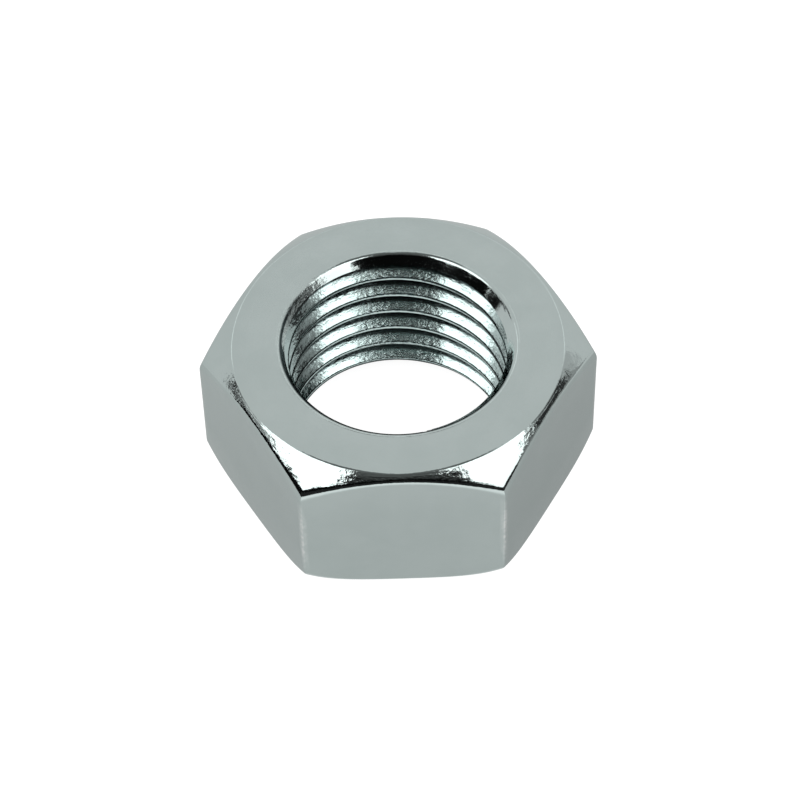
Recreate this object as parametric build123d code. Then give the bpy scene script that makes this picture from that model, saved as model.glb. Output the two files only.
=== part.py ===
from build123d import *
from build123d.topology import SkipClean
import math
import os

# Hexagon nut, in millimetres and degrees.
# The origin is on the thread axis at the lower end face, and +Z runs along that axis.
# One flat faces -Y, so two of the corners lie on the X axis.

# Hexagon body
across_flats = 17.0
nut_height = 8.4
corner_radius = 0.15

# Chamfer that takes the corners off at the upper end: where it starts inside the flats
# and how far it falls away from the end face
upper_setback = 0.36
upper_chamfer_angle = 36.0
# The lower one starts further in and is flatter
lower_setback = 1.2
lower_chamfer_angle = 20.5
# Round where a chamfer meets its end face
chamfer_edge_radius = 0.2

# Right hand metric thread, cut in a hole a little larger than the basic one
thread_major = 12.0
thread_pitch = 1.25
thread_angle = 60.0
tap_hole_allowance = 0.15
# Direction in which the turns of the groove begin
thread_start_angle = 45.0

# Countersink at both ends, whose mouth clears the root of the thread
mouth_margin = 0.02
countersink_angle = 90.0
# Roll of the upper mouth's lip, where the countersink meets the end face
lip_radius = 0.42

# Reach of a cutting tool past the metal that it cuts
overrun = 1.0
# Reach of the groove cutter from the crests into the open hole
cutter_reach = 0.12
# The wall of the hole is laid out in this many strips to a turn
strips_per_turn = 4


def crest_radius():
    """Radius of the hole that the thread is cut in."""
    triangle_height = thread_pitch / (2 * math.tan(math.radians(thread_angle / 2)))
    return thread_major / 2 - triangle_height * 5 / 8 + tap_hole_allowance / 2


def mouth_radius():
    """Radius at which the mouth of a countersink ends and the flat end face begins."""
    return thread_major / 2 + mouth_margin


def hexagon_bar():
    """The bar that the nut is formed from, with its upright edges lightly rounded."""
    section = RegularPolygon(across_flats / 2, 6, major_radius=False)
    return extrude(fillet(section.vertices(), corner_radius), nut_height)


def corners_at(section, radius):
    """Corners of a half section that lie at that radius."""
    return section.vertices().filter_by_position(Axis.X, radius - 0.001, radius + 0.001)


def barrel():
    """A ring as high as the nut, with a cone outside and a countersink inside at each end."""
    rim = across_flats / math.sqrt(3) + overrun
    lower_ring = across_flats / 2 - lower_setback
    upper_ring = across_flats / 2 - upper_setback
    lower_drop = (rim - lower_ring) * math.tan(math.radians(lower_chamfer_angle))
    upper_drop = (rim - upper_ring) * math.tan(math.radians(upper_chamfer_angle))
    # The two countersinks meet at a waist deep inside, which the hole takes away
    widening = math.tan(math.radians(countersink_angle / 2))
    lip = mouth_radius() - lip_radius * math.tan(math.radians(countersink_angle / 4))
    waist_height = ((mouth_radius() - lip) / widening + nut_height) / 2
    waist = mouth_radius() - waist_height * widening
    outline = Polyline(
        (waist, waist_height),
        (mouth_radius(), 0),
        (lower_ring, 0),
        (rim, lower_drop),
        (rim, nut_height - upper_drop),
        (upper_ring, nut_height),
        (lip, nut_height),
        close=True,
    )
    section = make_face(outline)
    section = fillet(corners_at(section, lower_ring), chamfer_edge_radius)
    section = fillet(corners_at(section, upper_ring), chamfer_edge_radius)
    section = fillet(corners_at(section, lip), lip_radius)
    return revolve(Plane.XZ * section, Axis.Z)


def hole_sector(index):
    """One sector of the tapped hole. Cutting sector by sector leaves the wall in strips."""
    sector_angle = 360 / strips_per_turn
    sector = Cylinder(
        crest_radius(),
        nut_height + 2 * overrun,
        arc_size=sector_angle,
        align=(Align.NONE, Align.NONE, Align.MIN),
    )
    return Pos(0, 0, -overrun) * Rot(0, 0, index * sector_angle) * sector


def thread_turn(index):
    """One turn of the groove between the crests, on a right hand helix."""
    flank = math.tan(math.radians(thread_angle / 2))
    root = thread_major / 2
    inner = crest_radius() - cutter_reach
    half_root = thread_pitch / 16
    half_mouth = half_root + (root - inner) * flank
    section = Polyline(
        (inner, 0, -half_mouth),
        (root, 0, -half_root),
        (root, 0, half_root),
        (inner, 0, half_mouth),
        close=True,
    )
    start = Pos(0, 0, index * thread_pitch) * Rot(0, 0, thread_start_angle)
    turn = Helix(thread_pitch, thread_pitch, root)
    return sweep(start * make_face(section), path=start * turn, is_frenet=True)


def hex_nut():
    """Bar, end cones, hole and thread, in the order that they are made."""
    first_turn = -1
    last_turn = math.ceil(nut_height / thread_pitch)
    with SkipClean():
        nut = hexagon_bar() & barrel()
        for index in range(strips_per_turn):
            nut = nut - hole_sector(index)
        for index in range(first_turn, last_turn + 1):
            nut = nut - thread_turn(index)
    return nut


os.makedirs("parts", exist_ok=True)
export_step(hex_nut(), "parts/hex_nut.step")
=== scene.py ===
import math

import bpy
import numpy as np
from mathutils import Matrix, Vector


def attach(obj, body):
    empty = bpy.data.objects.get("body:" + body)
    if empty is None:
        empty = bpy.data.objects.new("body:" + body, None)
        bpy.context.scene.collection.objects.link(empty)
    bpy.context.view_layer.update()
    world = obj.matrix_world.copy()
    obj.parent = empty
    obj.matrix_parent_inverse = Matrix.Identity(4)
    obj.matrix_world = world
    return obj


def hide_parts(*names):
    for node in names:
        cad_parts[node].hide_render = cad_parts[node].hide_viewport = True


# A zinc plated hexagon nut with a fine right hand thread.
# The mesh is worked out in millimetres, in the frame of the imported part, and scaled to metres.
MILLIMETRE = 0.001

# Hexagon
across_flats = 17.0
nut_height = 8.4
corner_round = 0.15

# Chamfer at the upper end and the wider, flatter one at the lower end
upper_ring = 8.14
upper_angle = math.radians(36.0)
lower_ring = 6.72
lower_angle = math.radians(14.0)
# How late a chamfer falls away towards a corner: 0 for a true cone
upper_lateness = 0.0
lower_lateness = 2.0
ring_round = 0.3
# Rounds where a chamfer meets a flat: in the middle of the flat and at the corners
upper_edge_round, upper_corner_round = 0.4, 0.9
lower_edge_round, lower_corner_round = 0.12, 0.8
# How late those rounds grow towards a corner
round_lateness = 1.5
# The upper chamfer is narrower at the rear, where its ring is crisper and the corners are softer
rear_ring_growth = 0.16
rear_ring_round = 0.1
rear_corner_round = 1.9

# Countersinks at 45 degrees: where their cone would meet the end face, and the roll of that edge
upper_mouth = 5.785
upper_lip_round = 0.35
# The upper one is a little wider at the rear of the hole
rear_mouth_growth = 0.145
lower_mouth = 6.02
lower_lip_round = 0.1
# How far a countersink's cone is laid out past the crests, and where its rows lie
cone_overlap = 0.15
cone_rows = (0.35, 0.7)

# Thread
thread_pitch = 1.25
crest_radius = 5.37
root_radius = 6.0
crest_width = 0.2
flank_slope = math.tan(math.radians(30.0))
crest_round = 0.13
root_round = 0.08
crest_height_at_rear = 7.031
# The groove grows shallow within this depth below the upper face
runout_depth = 0.8
runout_slope = 0.8
# Turns laid out beyond each face, and the mark of a point that lies in no turn
spare_turns = 2
no_turn = -99

# Fineness of the mesh: columns round the axis, rows on a flat, and steps of each round
columns_per_side = 52
columns_per_corner = 8
flat_rows = (0.62, 0.38)
thirds = (0.33, 0.67)
ring_steps = 5
edge_steps = 8
lip_steps = 8
crest_steps = 5
root_steps = 3
# A length too small to matter
hair = 0.001
# Faces that meet at more than this are shaded with a sharp edge
sharp_angle = math.radians(40)
# Chatter of the chamfering tool reaches this far from the middle of a flat, and fades at its ends
chatter_reach = 24
chatter_fade = 8


def unit(vector):
    return vector / np.linalg.norm(vector)


def blend(first, second, share):
    """What lies that share of the way from the first to the second."""
    return first + (second - first) * share


def rounded(before, corner, after, radius, steps):
    """Points of the arc that rounds a corner of an outline, in its order."""
    before, corner, after = (np.array(p, float) for p in (before, corner, after))
    back, ahead = unit(before - corner), unit(after - corner)
    half = math.acos(max(-1.0, min(1.0, float(back @ ahead)))) / 2
    centre = corner + unit(back + ahead) * radius / math.sin(half)
    first = corner + back * radius / math.tan(half) - centre
    last = corner + ahead * radius / math.tan(half) - centre
    start = math.atan2(first[1], first[0])
    turn = math.atan2(last[1], last[0]) - start
    turn = (turn + math.pi) % (2 * math.pi) - math.pi
    angles = [start + turn * i / steps for i in range(steps + 1)]
    return [tuple(centre + radius * np.array([math.cos(a), math.sin(a)])) for a in angles]


# Outside


def column_angles():
    """Each column's direction and how far out the hexagon is there, close together at the corners."""
    to_centre = (across_flats / 2 - corner_round) / math.cos(math.radians(30))
    columns = []
    for corner in range(6):
        middle = math.radians(60 * corner)
        arc = []
        for i in range(columns_per_corner + 1):
            lean = math.radians(-30 + 60 * i / columns_per_corner)
            x = to_centre + corner_round * math.cos(lean)
            y = corner_round * math.sin(lean)
            arc.append((middle + math.atan2(y, x), math.hypot(x, y)))
        columns += arc
        start, end = arc[-1][0], middle + math.radians(60) - (arc[-1][0] - middle)
        for i in range(1, columns_per_side):
            angle = start + (end - start) * i / columns_per_side
            off_flat = angle - middle - math.radians(30)
            columns.append((angle, across_flats / 2 / math.cos(off_flat)))
    return columns


def upper_mouth_at(angle):
    """Radius of the upper mouth in that direction."""
    return upper_mouth + rear_mouth_growth * ((1 + math.sin(angle)) / 2) ** 2


def lip_radius(mouth, lip_round):
    """Radius at which the roll of a mouth's lip begins on the end face, beside a cone at 45 degrees."""
    return mouth + lip_round * math.tan(math.radians(22.5))


def upper_end(angle):
    """Shape of the upper end in that direction. It changes towards the rear."""
    rearward = max(0.0, math.sin(angle)) ** 2
    return {
        "lip": lip_radius(upper_mouth_at(angle), upper_lip_round),
        "ring": upper_ring + rear_ring_growth * rearward,
        "ring_round": blend(ring_round, rear_ring_round, rearward),
        "slope": math.tan(upper_angle),
        "lateness": upper_lateness,
        "edge_round": upper_edge_round,
        "corner_round": blend(upper_corner_round, rear_corner_round, rearward),
    }


def lower_end():
    """Shape of the lower end, the same in every direction."""
    return {
        "lip": lip_radius(lower_mouth, lower_lip_round),
        "ring": lower_ring,
        "ring_round": ring_round,
        "slope": math.tan(lower_angle),
        "lateness": lower_lateness,
        "edge_round": lower_edge_round,
        "corner_round": lower_corner_round,
    }


def end_section(rim, end):
    """Half section of the outside at an end, as (radius, depth below the end face, kind)."""
    flat = across_flats / 2
    corner = flat / math.cos(math.radians(30))
    at_corner = max(0.0, (rim - flat) / (corner - flat))
    edge_radius = blend(end["edge_round"], end["corner_round"], at_corner**round_lateness)
    reach = flat - end["ring"] + (rim - flat) * at_corner ** end["lateness"]
    inner, outer = (end["ring"], 0), (rim, reach * end["slope"])
    points = [(blend(end["lip"], end["ring"], s), 0, "face") for s in (0, *thirds)]
    ring_arc = rounded((0, 0), inner, outer, end["ring_round"], ring_steps)
    points += [(r, z, "edge") for r, z in ring_arc]
    edge_arc = rounded(inner, outer, (rim, nut_height), edge_radius, edge_steps)
    start = np.array(points[-1][:2])
    for s in thirds:
        r, z = blend(start, np.array(edge_arc[0]), s)
        points.append((r, z, "chamfer"))
    return points + [(r, z, "rim") for r, z in edge_arc]


def outer_section(rim, angle):
    """Section of the outside from the upper mouth to the lower one, as (radius, height, kind)."""
    upper = [(r, nut_height - z, kind) for r, z, kind in end_section(rim, upper_end(angle))]
    middle = [(rim, nut_height * s, "flat") for s in flat_rows]
    return upper + middle + end_section(rim, lower_end())[::-1]


# Hole


def thread_points():
    """One pitch of the thread's section, from the middle of a crest, as (height, radius)."""
    half_crest = crest_width / 2
    half_root = thread_pitch / 2 - half_crest - (root_radius - crest_radius) * flank_slope
    crest, root = (half_crest, crest_radius), (thread_pitch / 2 - half_root, root_radius)
    rising = rounded((0, crest_radius), crest, root, crest_round, crest_steps)
    into_root = rounded(crest, root, (thread_pitch / 2, root_radius), root_round, root_steps)
    mid = tuple((np.array(rising[-1]) + np.array(into_root[0])) / 2)
    half = rising + [mid] + into_root
    other = [(thread_pitch - z, r) for z, r in reversed(half)]
    return half + other


def countersink_points(mouth, lip_round):
    """A countersink's section from the end face inwards, as (depth, radius)."""
    deep = mouth - crest_radius + cone_overlap
    end = (deep, mouth - deep)
    arc = sorted(rounded((0, across_flats / 2), (0, mouth), end, lip_round, lip_steps))
    cone = [tuple(blend(np.array(arc[-1]), np.array(end), s)) for s in cone_rows]
    return arc + cone + [end]


THREAD = thread_points()
LOWER_MOUTH = countersink_points(lower_mouth, lower_lip_round)


def thread_section(angle):
    """Section of the thread from face to face, as (height, radius, label)."""
    shift = crest_height_at_rear + thread_pitch * (angle - math.pi / 2) / (2 * math.pi)
    first = math.floor(-shift / thread_pitch) - spare_turns
    last = first + math.ceil(nut_height / thread_pitch) + 2 * spare_turns
    section = []
    for turn in range(first, last + 1):
        for i, (z, r) in enumerate(THREAD):
            height = shift + turn * thread_pitch + z
            runout = runout_slope * max(0.0, height - (nut_height - runout_depth))
            radius = max(r - runout, min(r, crest_radius))
            section.append((height, radius, ("thread", turn * len(THREAD) + i)))
    return [p for p in section if hair < p[0] < nut_height - hair]


def padded(section):
    """The section with a point beyond each face, so that it spans the whole hole."""
    low = (-hair, section[0][1], ("pad",))
    high = (nut_height + hair, section[-1][1], ("pad",))
    return [low] + section + [high]


def crossing_turn(section, height):
    """Number of the thread turn whose section holds that height."""
    below = [p[2] for p in section if p[0] <= height and p[2][0] == "thread"]
    return below[-1][1] // len(THREAD) if below else no_turn


def outer_envelope(first, second, tag):
    """The wider of two sections at every height. Each is a list of (height, radius, label)."""
    heights = sorted({p[0] for p in first} | {p[0] for p in second})
    lines = [np.array([p[:2] for p in section]) for section in (first, second)]

    def gap(height):
        a, b = (np.interp(height, line[:, 0], line[:, 1]) for line in lines)
        return a - b

    low = max(lines[0][0, 0], lines[1][0, 0])
    high = min(lines[0][-1, 0], lines[1][-1, 0])
    kept = [p for p in first if not low <= p[0] <= high or gap(p[0]) >= 0]
    kept += [p for p in second if not low <= p[0] <= high or gap(p[0]) < 0]
    inside = [h for h in heights if low <= h <= high]
    for a, b in zip(inside, inside[1:]):
        gap_below, gap_above = gap(a), gap(b)
        if (gap_below >= 0) == (gap_above >= 0):
            continue
        height = a + (b - a) * gap_below / (gap_below - gap_above)
        radius = float(np.interp(height, lines[0][:, 0], lines[0][:, 1]))
        side = "in" if gap_below < 0 else "out"
        kept.append((height, radius, (tag, side, crossing_turn(first, height))))
    return sorted(kept, key=lambda p: p[0])


def inner_section(angle):
    """Section of the hole from the lower face to the upper one, as (height, radius, label)."""
    lower = [(z, r, ("lower", i)) for i, (z, r) in enumerate(LOWER_MOUTH)]
    opening = countersink_points(upper_mouth_at(angle), upper_lip_round)
    upper = [(nut_height - z, r, ("upper", -i)) for i, (z, r) in enumerate(opening)][::-1]
    body = outer_envelope(padded(thread_section(angle)), lower, "cross lower")
    body = outer_envelope(body, upper, "cross upper")
    body = [p for p in body if 0 < p[0] < nut_height and p[2] != ("pad",)]
    return [lower[0]] + body + [upper[-1]]


# Mesh


def next_turn(label):
    """The label that a point has when it is counted from one turn further on."""
    if label[0] == "thread":
        return ("thread", label[1] - len(THREAD))
    if label[0].startswith("cross"):
        return (label[0], label[1], label[2] - 1)
    return label


def bridge(left, right):
    """Faces between two neighbouring columns, each a list of (label, vertex, height)."""
    places = {p[0]: i for i, p in enumerate(right)}
    pairs, last = [], -1
    for i, p in enumerate(left):
        j = places.get(p[0], -1)
        if j > last:
            pairs.append((i, j))
            last = j
    faces = []
    for (i, j), (i_end, j_end) in zip(pairs, pairs[1:]):
        if i_end == i + 1 and j_end == j + 1:
            faces.append((left[i][1], left[i_end][1], right[j_end][1], right[j][1]))
            continue
        while i < i_end or j < j_end:
            step_left = i < i_end and (j == j_end or left[i + 1][2] <= right[j + 1][2])
            if step_left:
                faces.append((left[i][1], left[i + 1][1], right[j][1]))
                i += 1
            else:
                faces.append((left[i][1], right[j + 1][1], right[j][1]))
                j += 1
    return faces


def all_faces(columns):
    """Faces of the outside and of the hole. Past the last column the thread is one turn further on."""
    faces = []
    for i, (outside, hole) in enumerate(columns):
        next_outside, next_hole = columns[(i + 1) % len(columns)]
        if i == len(columns) - 1:
            next_hole = [(next_turn(label), v, z) for label, v, z in next_hole]
        faces += bridge(outside, next_outside)
        faces += bridge(hole, next_hole)
    return faces


def finish_of(label):
    """Which tool left this surface: 0 pressed, 0.6 chamfered, 1 turned, 2 tapped."""
    if label[0] == "outer":
        return {"face": 0.0, "flat": 0.0, "edge": 0.6, "chamfer": 0.6, "rim": 0.6}[label[2]]
    return 2.0 if label[0] == "thread" else 1.0


def edge_highlight_share(index, label):
    """Painted highlight on an upright edge at that column: full on its round and half where the round
    ends.
    """
    along = index % (columns_per_corner + columns_per_side)
    if label[-1] != "flat" or along > columns_per_corner:
        return 0.0
    return 0.5 if along in (0, columns_per_corner) else 1.0


def chatter(angle, label):
    """Chatter in the chamfers: full over each flat and none at the corners."""
    if label[-1] not in ("chamfer", "rim"):
        return 0.0
    off_flat = abs((math.degrees(angle) % 60) - 30)
    return max(0.0, min(1.0, (chatter_reach - off_flat) / chatter_fade))


def nut_mesh():
    """The nut as one closed mesh, column by column round the axis, with marks at its vertices."""
    vertices, columns = [], []
    marks = {"finish": [], "painted_edge_highlight": [], "chatter": []}
    for index, (angle, rim) in enumerate(column_angles()):
        outside = [(r, z, ("outer", i, kind)) for i, (r, z, kind) in enumerate(outer_section(rim, angle))]
        hole = [(r, z, label) for z, r, label in inner_section(angle)[1:-1]]
        column = []
        for r, z, label in outside + hole:
            column.append((label, len(vertices), z))
            vertices.append((r * math.cos(angle), r * math.sin(angle), z))
            marks["finish"].append(finish_of(label))
            marks["painted_edge_highlight"].append(edge_highlight_share(index, label))
            marks["chatter"].append(chatter(angle, label))
        split = len(outside)
        columns.append((column[:split], column[split - 1 :] + column[:1]))
    return vertices, all_faces(columns), marks


def build_nut(material):
    vertices, faces, marks = nut_mesh()
    mesh = bpy.data.meshes.new("nut")
    mesh.from_pydata([tuple(MILLIMETRE * c for c in v) for v in vertices], [], faces)
    mesh.validate()
    for name, values in marks.items():
        mesh.attributes.new(name, "FLOAT", "POINT").data.foreach_set("value", values)
    mesh.shade_smooth()
    mesh.set_sharp_from_angle(angle=sharp_angle)
    mesh.materials.append(material)
    nut = bpy.data.objects.new("nut", mesh)
    bpy.context.scene.collection.objects.link(nut)
    nut.modifiers.new("weighted", "WEIGHTED_NORMAL").keep_sharp = True
    return nut


# Materials

plate_dark = (0.375, 0.43, 0.42, 1)
plate_light = (0.395, 0.45, 0.44, 1)
plate_in_thread = (0.355, 0.435, 0.425, 1)
# Near-black colour of the painted shade in the thread's roots and on the upper lip
painted_shade_colour = (0.035, 0.05, 0.05, 1)
# Pale colour of the painted highlight on the upright edges
plate_highlight = (0.62, 0.65, 0.64, 1)
plate_glint = (0.76, 0.77, 0.77, 1)
bump_depth = 0.03 * MILLIMETRE

# What a ramp turns into, from the start of its range to the end
RISE = (0.0, 1.0)
FALL = (1.0, 0.0)

paper_grey = (0.2, 0.2, 0.2, 1)
paper_seen = 0.95
white = (1, 1, 1, 1)


def new_material(name):
    material = bpy.data.materials.new(name)
    material.use_nodes = True
    material.node_tree.nodes.clear()
    return material, material.node_tree.nodes, material.node_tree.links


class NodeKit:
    """Short calls for the node kinds that the materials are made of."""

    def __init__(self, name):
        self.material, self.nodes, self.links = new_material(name)

    def calc(self, operation, *values):
        """A Math node whose inputs are sockets or numbers."""
        node = self.nodes.new("ShaderNodeMath")
        node.operation = operation
        for socket, value in zip(node.inputs, values):
            if isinstance(value, (int, float)):
                socket.default_value = value
            else:
                self.links.new(value, socket)
        return node.outputs[0]

    def plus(self, total, *others):
        for other in others:
            total = self.calc("ADD", total, other)
        return total

    def times(self, product, *others):
        for other in others:
            product = self.calc("MULTIPLY", product, other)
        return product

    def magnitude(self, value):
        """The value without its sign."""
        return self.calc("ABSOLUTE", value)

    def length(self, x, y):
        return self.calc("SQRT", self.plus(self.times(x, x), self.times(y, y)))

    def ramp(self, value, before, after):
        """The value carried smoothly from one range to another."""
        node = self.nodes.new("ShaderNodeMapRange")
        node.interpolation_type = "SMOOTHSTEP"
        for socket, number in zip(node.inputs[1:5], (*before, *after)):
            socket.default_value = number
        self.links.new(value, node.inputs[0])
        return node.outputs[0]

    def noise(self, vector, scale, detail, rough):
        node = self.nodes.new("ShaderNodeTexNoise")
        node.inputs["Scale"].default_value = scale
        node.inputs["Detail"].default_value = detail
        node.inputs["Roughness"].default_value = rough
        self.links.new(vector, node.inputs["Vector"])
        return node.outputs[0]

    def vector(self, x, y, z):
        node = self.nodes.new("ShaderNodeCombineXYZ")
        for socket, value in zip(node.inputs, (x, y, z)):
            self.links.new(value, socket)
        return node.outputs[0]

    def attribute(self, name):
        node = self.nodes.new("ShaderNodeAttribute")
        node.attribute_name = name
        return node.outputs["Fac"]

    def millimetres(self):
        """The place on the object in millimetres, as a vector and as x, y and z."""
        place = self.nodes.new("ShaderNodeTexCoord").outputs["Object"]
        scaled = self.nodes.new("ShaderNodeVectorMath")
        scaled.operation = "SCALE"
        scaled.inputs["Scale"].default_value = 1 / MILLIMETRE
        self.links.new(place, scaled.inputs[0])
        parts = self.nodes.new("ShaderNodeSeparateXYZ")
        self.links.new(scaled.outputs[0], parts.inputs[0])
        return scaled.outputs[0], *parts.outputs

    def mix(self, share, first, second):
        """Two colours mixed by a share. Each is a colour or a socket."""
        node = self.nodes.new("ShaderNodeMix")
        node.data_type = "RGBA"
        self.links.new(share, node.inputs["Factor"])
        for socket, colour in ((node.inputs[6], first), (node.inputs[7], second)):
            if isinstance(colour, tuple):
                socket.default_value = colour
            else:
                self.links.new(colour, socket)
        return node.outputs[2]


class ZincPlate(NodeKit):
    """Bright zinc plate over pressed, turned and tapped steel. Places are in millimetres."""

    def __init__(self):
        super().__init__("zinc_plate")
        self.place, self.x, self.y, self.z = self.millimetres()
        self.radius = self.length(self.x, self.y)
        finish = self.attribute("finish")
        self.tooled = self.calc("MINIMUM", finish, 1.0)
        self.in_thread = self.ramp(finish, (1.2, 1.8), RISE)
        in_hole = self.ramp(finish, (0.7, 0.9), RISE)
        self.on_cone = self.times(in_hole, self.calc("SUBTRACT", 1.0, self.in_thread))
        self.lumps = self.noise(self.place, scale=4.5, detail=2.0, rough=0.5)
        self.peel = self.noise(self.place, scale=1.2, detail=2.0, rough=0.5)
        self.clouds = self.noise(self.place, scale=0.45, detail=4.0, rough=0.6)

    def along_tool_marks(self):
        """Coordinates that run slowly round the axis and fast across the tool marks."""
        ring = 8.0
        across = self.plus(self.radius, self.times(self.z, 0.4))
        return self.vector(
            self.calc("DIVIDE", self.times(self.x, ring), self.radius),
            self.calc("DIVIDE", self.times(self.y, ring), self.radius),
            self.times(across, 3.0),
        )

    def height(self):
        """Height of the surface: marks and grit where a tool has been, and orange peel all over."""
        around = self.along_tool_marks()
        marks = self.noise(around, scale=1.5, detail=3.0, rough=0.55)
        grit = self.noise(around, scale=2.6, detail=3.0, rough=0.6)
        # The countersink is rough at its left end and smooth from there on
        left_end = (-4.5, -2.5)
        smoothed = self.times(self.on_cone, self.ramp(self.x, left_end, (0.0, 0.75)))
        rough = self.plus(self.times(marks, 0.35), self.times(self.lumps, 0.25))
        rough = self.times(rough, self.calc("SUBTRACT", 1.0, smoothed))
        # The grit is strongest over the flats, in the middle of the thread and at that left end
        middle = self.ramp(self.magnitude(self.x), (1.2, 2.6), FALL)
        thread_grit = self.times(self.in_thread, self.plus(self.times(middle, 1.3), 0.15))
        cone_grit = self.times(self.on_cone, self.ramp(self.x, left_end, (0.7, 0.05)))
        gritty = self.plus(self.times(self.attribute("chatter"), 0.9), thread_grit, cone_grit, 0.08)
        rough = self.plus(rough, self.times(grit, gritty))
        return self.plus(self.times(rough, self.tooled), self.times(self.peel, 0.12))

    def groove_painted_shade(self):
        """Painted shade at the root of the thread. There is little near the upper face."""
        at_root = self.ramp(self.radius, (root_radius - 0.26, root_radius - 0.16), RISE)
        deep_down = self.ramp(self.z, (nut_height - 0.8, nut_height - 0.5), (1.0, 0.2))
        beside = self.ramp(self.magnitude(self.x), (1.6, 3.4), (0.85, 1.0))
        return self.times(self.in_thread, at_root, deep_down, beside)

    def lip_painted_shade(self):
        """Painted shade on the roll of the upper lip, deeper at the front left and none at the rear."""
        front_left = self.ramp(self.plus(self.x, self.y), (-6.4, -5.4), (0.26, 0.0))
        lifted = self.plus(self.z, front_left)
        below_face = self.ramp(self.z, (nut_height - 0.065, nut_height - 0.015), FALL)
        above_cone = self.ramp(lifted, (nut_height - 0.16, nut_height - 0.12), RISE)
        rearward = self.plus(self.times(self.x, 0.5), self.y)
        in_front = self.ramp(rearward, (-1.0, 1.0), FALL)
        return self.times(below_face, above_cone, self.on_cone, in_front)

    def painted_edge_highlight(self):
        """Painted highlight on the upright edges, broken up in patches by noise."""
        highlight_breakup = self.plus(self.times(self.lumps, 0.5), self.times(self.peel, 0.5))
        return self.times(self.attribute("painted_edge_highlight"), self.ramp(highlight_breakup, (0.4, 0.6), (0.45, 1.0)))

    def colour(self):
        plate = self.mix(self.ramp(self.clouds, (0.3, 0.7), RISE), plate_dark, plate_light)
        plate = self.mix(self.in_thread, plate, plate_in_thread)
        # Painted shade in the thread's roots and on the upper lip, then a painted highlight on the upright
        # edges
        dark = self.calc("MAXIMUM", self.groove_painted_shade(), self.lip_painted_shade())
        return self.mix(self.painted_edge_highlight(), self.mix(dark, plate, painted_shade_colour), plate_highlight)

    def roughness(self):
        """Pressed faces are duller than tooled ones, and both are a little cloudy."""
        by_tool = self.ramp(self.tooled, (0.0, 0.6), (0.2, 0.05))
        return self.plus(by_tool, self.ramp(self.clouds, (0.3, 0.7), (0.0, 0.04)))


def zinc_material():
    plate = ZincPlate()
    bump = plate.nodes.new("ShaderNodeBump")
    bump.inputs["Strength"].default_value = 1.0
    bump.inputs["Distance"].default_value = bump_depth
    output = plate.nodes.new("ShaderNodeOutputMaterial")
    shader = plate.nodes.new("ShaderNodeBsdfPrincipled")
    shader.inputs["Metallic"].default_value = 1.0
    shader.inputs["Specular Tint"].default_value = plate_glint
    plate.links.new(plate.height(), bump.inputs["Height"])
    plate.links.new(plate.colour(), shader.inputs["Base Color"])
    plate.links.new(plate.roughness(), shader.inputs["Roughness"])
    plate.links.new(bump.outputs[0], shader.inputs["Normal"])
    plate.links.new(shader.outputs["BSDF"], output.inputs["Surface"])
    return plate.material


def across_hexagon(kit, x, y):
    """How far out a place is, measured square to the hexagon's nearest flat."""
    along_slant = kit.times(kit.magnitude(x), math.cos(math.radians(30)))
    slant = kit.plus(along_slant, kit.times(kit.magnitude(y), math.sin(math.radians(30))))
    return kit.calc("MAXIMUM", kit.magnitude(y), slant)


def paper_in_metal(kit):
    """Painted light and shade on the paper, seen only in the metal's mirror image: high in the hole and
    far off, and low beside the nut.
    """
    _, x, y, _ = kit.millimetres()
    distance = kit.length(x, y)
    hole_edge = (6.0, 7.5)
    front = kit.ramp(kit.calc("DIVIDE", y, distance), (-0.87, -0.8), FALL)

    # Painted shade on the paper beside the nut, darker to the right than to the left and lightest in front
    side = kit.ramp(x, (-4.0, 4.0), (0.66, 0.53))
    outside = kit.plus(side, kit.times(front, kit.calc("SUBTRACT", 0.71, side)))
    outside = kit.calc("MAXIMUM", outside, kit.ramp(y, (13.0, 18.0), (0.0, 0.76)))
    far_in_front = kit.times(front, kit.ramp(distance, (16.0, 35.0), (0.0, 0.8)))
    outside = kit.times(outside, kit.plus(far_in_front, 1.0), kit.ramp(distance, hole_edge, (0.2, 1.0)))

    # Painted light on the paper in the middle of the hole, fading towards its rear and its sides
    inside = kit.times(
        kit.ramp(y, (3.3, 4.2), (1.3, 0.0)),
        kit.ramp(kit.magnitude(x), (1.6, 2.8), FALL),
        kit.ramp(distance, hole_edge, FALL),
    )
    # A painted bright rim of light on the paper close to the front flats, which their lowest part mirrors
    apron = kit.times(
        front,
        kit.ramp(distance, (7.5, 8.0), RISE),
        kit.ramp(across_hexagon(kit, x, y), (8.7, 9.1), (0.95, 0.0)),
    )
    return kit.calc("MAXIMUM", kit.calc("MAXIMUM", inside, outside), apron)


def floor_material():
    """White paper that a camera sees as the background, with the object's shadow on it. In the metal it
    shows painted light and shade.
    """
    kit = NodeKit("paper")
    path = kit.nodes.new("ShaderNodeLightPath")
    mirrored = kit.calc("MAXIMUM", path.outputs["Is Glossy Ray"], path.outputs["Is Transmission Ray"])
    in_metal = kit.times(mirrored, paper_in_metal(kit))
    seen = kit.times(path.outputs["Is Camera Ray"], paper_seen)

    output = kit.nodes.new("ShaderNodeOutputMaterial")
    both = kit.nodes.new("ShaderNodeAddShader")
    paper = kit.nodes.new("ShaderNodeBsdfDiffuse")
    paper.inputs["Color"].default_value = paper_grey
    glow = kit.nodes.new("ShaderNodeEmission")
    glow.inputs["Color"].default_value = white
    kit.links.new(kit.plus(in_metal, seen), glow.inputs["Strength"])
    kit.links.new(paper.outputs[0], both.inputs[0])
    kit.links.new(glow.outputs[0], both.inputs[1])
    kit.links.new(both.outputs[0], output.inputs["Surface"])
    return kit.material


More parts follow.
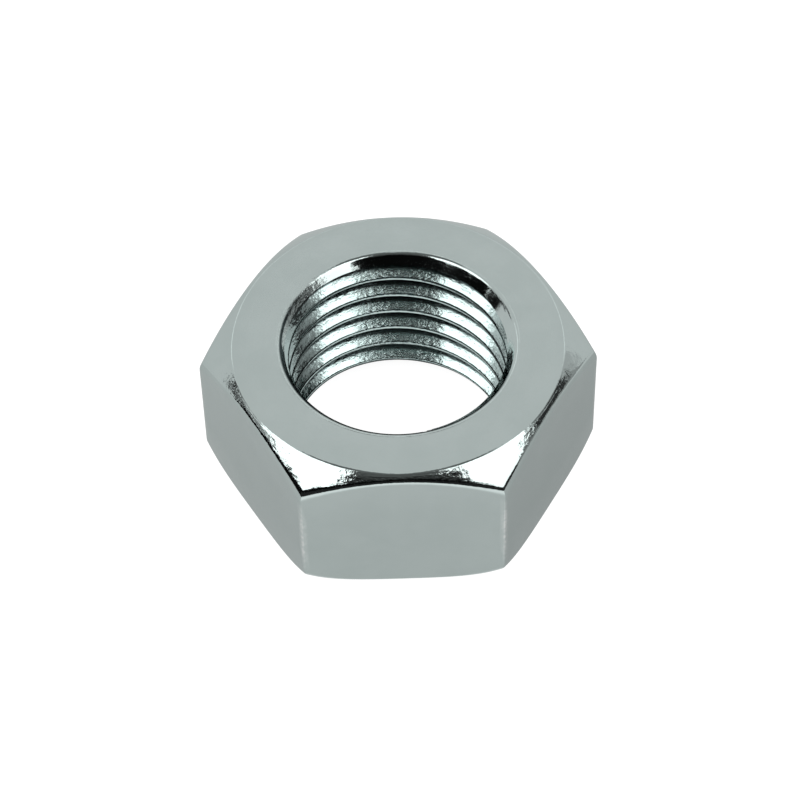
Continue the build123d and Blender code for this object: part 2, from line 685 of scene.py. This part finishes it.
def glow_material(name, strength):
    material, nodes, links = new_material(name)
    output = nodes.new("ShaderNodeOutputMaterial")
    glow = nodes.new("ShaderNodeEmission")
    glow.inputs["Color"].default_value = white
    glow.inputs["Strength"].default_value = strength
    links.new(glow.outputs[0], output.inputs["Surface"])
    return material


# Studio: cards on a sphere round the nut, in metres and in degrees, with -90 in front of the nut.
# The camera doesn't see them, but the metal mirrors them. White paper has a strength of 1.

card_distance = 0.4
card_steps = 12
floor_reach = 1.5
floor_clearance = 0.01 * MILLIMETRE
black = 0.005
overhead_grey = 0.25
soft_box = 3.0


def studio_card(name, azimuths, elevations, strength, lights_floor=False):
    """A card between two directions each way."""
    vertices, faces = [], []
    for i in range(card_steps + 1):
        elevation = math.radians(elevations[0] + (elevations[1] - elevations[0]) * i / card_steps)
        for j in range(card_steps + 1):
            azimuth = math.radians(azimuths[0] + (azimuths[1] - azimuths[0]) * j / card_steps)
            ground = card_distance * math.cos(elevation)
            height = card_distance * math.sin(elevation)
            vertices.append((ground * math.cos(azimuth), ground * math.sin(azimuth), height))
    row = card_steps + 1
    for i in range(card_steps):
        for j in range(card_steps):
            a = i * row + j
            faces.append((a, a + 1, a + row + 1, a + row))
    mesh = bpy.data.meshes.new(name)
    mesh.from_pydata(vertices, [], faces)
    mesh.materials.append(glow_material(name, strength))
    card = bpy.data.objects.new(name, mesh)
    bpy.context.scene.collection.objects.link(card)
    card.visible_camera = False
    card.visible_shadow = False
    card.visible_diffuse = lights_floor


def striped_cards(name, azimuths, elevations, count, dark_share, dark, bright):
    """Upright stripes side by side, which break up the mirror image in a rough chamfer."""
    width = (azimuths[1] - azimuths[0]) / count
    for i in range(count):
        start = azimuths[0] + i * width
        edge = start + dark_share * width
        studio_card(f"{name}_dark_{i}", (start, edge), elevations, dark)
        studio_card(f"{name}_bright_{i}", (edge, start + width), elevations, bright)


def add_soft_boxes():
    """Two soft boxes, which whiten the front corners of the upper chamfer and light the floor."""
    boxes = {
        "left_box": ((-160, -139), (42, 60)),
        "left_box_inner": ((-139, -130), (46, 60)),
        "left_box_end": ((-174, -160), (38, 60)),
        "left_box_far": ((-192, -174), (43, 60)),
        "left_box_top": ((-168, -133), (60, 68.5)),
        "right_box": ((-47, -3), (40, 60)),
        "right_box_end": ((-3, 3), (47, 60)),
        "right_box_top": ((-56, -12), (60, 68.5)),
    }
    for name, (azimuths, elevations) in boxes.items():
        studio_card(name, azimuths, elevations, soft_box, lights_floor=True)


def add_high_cards():
    """Dark cards between the soft boxes and overhead, for the middle of the front chamfer and its ring."""
    studio_card("front_gap", (-130, -47), (50, 60), 0.07)
    studio_card("front_gap_low", (-130, -47), (40, 50), black)
    studio_card("front_top", (-133, -56), (60, 78), 0.17)
    studio_card("dark_top", (108, 227), (68.5, 90), overhead_grey)
    studio_card("dark_top_right", (304, 432), (68.5, 90), overhead_grey)
    studio_card("dark_top_front", (227, 304), (78, 90), overhead_grey)


def add_front_cards():
    """Black cards low in front, for the line under the chamfer and the rear of the countersink."""
    studio_card("front_low", (-194, -150), (4, 24), black)
    studio_card("front_low_left", (-180, -150), (24, 36), black)
    studio_card("front_low_middle", (-150, -80), (29, 36), black)
    studio_card("front_base", (-150, -54), (3, 29), 0.03)
    studio_card("front_low_end", (-160, -139), (36, 42), black)
    studio_card("front_low_mid", (-139, -80), (36, 40), black)
    studio_card("front_low_near", (-139, -130), (40, 46), black)
    studio_card("front_low_right", (-80, -54), (29, 40), black)
    studio_card("front_low_far", (-54, -16), (4, 26), 0.05)


def add_side_cards():
    """Cards at the right and the left, for the ends of the upper chamfer and of the countersink."""
    studio_card("right_box_low", (-54, -16), (26, 40), 2.5)
    studio_card("right_low", (-16, 30), (4, 19), 0.5)
    studio_card("right_low_inner", (-16, -3), (19, 39), 0.3)
    studio_card("right_mid", (-3, 27), (19, 40), 0.05)
    studio_card("right_mid_end", (27, 36), (14, 36), 0.75)
    studio_card("right_mid_top", (3, 36), (40, 49), 0.4)
    studio_card("left_low", (150, 180), (20, 26), 0.06)
    striped_cards("left_low", (150, 180), (26, 39), count=5, dark_share=0.7, dark=0.02, bright=1.6)


def add_rear_strips():
    """Bright strips behind, for the fine light line on the ring of the upper chamfer."""
    studio_card("left_strip", (105, 135), (34, 42), 1.5)
    studio_card("right_strip", (45, 75), (34, 42), 1.4)
    studio_card("back_strip", (75, 105), (34, 40), 1.5)


def add_floor():
    corners = [(-1, -1), (1, -1), (1, 1), (-1, 1)]
    mesh = bpy.data.meshes.new("floor")
    mesh.from_pydata([(floor_reach * x, floor_reach * y, 0) for x, y in corners], [], [(0, 1, 2, 3)])
    mesh.materials.append(floor_material())
    floor = bpy.data.objects.new("floor", mesh)
    bpy.context.scene.collection.objects.link(floor)
    floor.location.z = -floor_clearance


def add_world():
    world = bpy.data.worlds.new("studio")
    world.use_nodes = True
    world.node_tree.nodes["Background"].inputs["Color"].default_value = white
    world.node_tree.nodes["Background"].inputs["Strength"].default_value = 1.0
    bpy.context.scene.world = world


# Camera: the photograph's view, from in front and well above, as fitted to the nut's outlines

view_elevation = math.radians(50.6426)
view_azimuth = math.radians(-0.4978)
view_roll = math.radians(1.2977)
view_distance = 8.8841 * across_flats * MILLIMETRE
# How far the nut's middle lies beside and above the middle of the picture
view_across = -0.00249 * across_flats * MILLIMETRE
view_above = 0.00898 * across_flats * MILLIMETRE
sensor_width = 36
picture_width_pixels = 800
focal_length_pixels = 3025.5


def camera_axes():
    """The camera's right, up and back directions before its roll."""
    ground, height = math.cos(view_elevation), math.sin(view_elevation)
    back = Vector((math.sin(view_azimuth) * ground, -math.cos(view_azimuth) * ground, height))
    right = Vector((math.cos(view_azimuth), math.sin(view_azimuth), 0))
    return right, back.cross(right), back


def add_camera():
    right, up, back = camera_axes()
    place = Vector((0, 0, nut_height / 2 * MILLIMETRE)) + back * view_distance
    place -= right * view_across + up * view_above
    right_rolled = right * math.cos(view_roll) - up * math.sin(view_roll)
    up_rolled = right * math.sin(view_roll) + up * math.cos(view_roll)
    turn = Matrix((right_rolled, up_rolled, back)).transposed().to_4x4()
    data = bpy.data.cameras.new("camera")
    data.sensor_width = sensor_width
    data.lens = focal_length_pixels * sensor_width / picture_width_pixels
    data.clip_start = 0.01
    data.clip_end = 10
    camera = bpy.data.objects.new("camera", data)
    camera.matrix_world = Matrix.Translation(place) @ turn
    bpy.context.scene.collection.objects.link(camera)
    bpy.context.scene.camera = camera


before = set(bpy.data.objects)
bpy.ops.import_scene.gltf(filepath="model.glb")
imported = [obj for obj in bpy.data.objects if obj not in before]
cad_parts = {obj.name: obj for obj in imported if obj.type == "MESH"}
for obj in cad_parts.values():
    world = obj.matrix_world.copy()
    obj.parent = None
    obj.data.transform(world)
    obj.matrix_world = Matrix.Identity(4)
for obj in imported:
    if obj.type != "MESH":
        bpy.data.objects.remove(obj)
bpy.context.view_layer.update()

nut = build_nut(zinc_material())
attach(nut, "root")
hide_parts("hex_nut")

add_floor()
add_world()
add_soft_boxes()
add_high_cards()
add_front_cards()
add_side_cards()
add_rear_strips()
add_camera()
bpy.context.scene.view_settings.view_transform = "Standard"
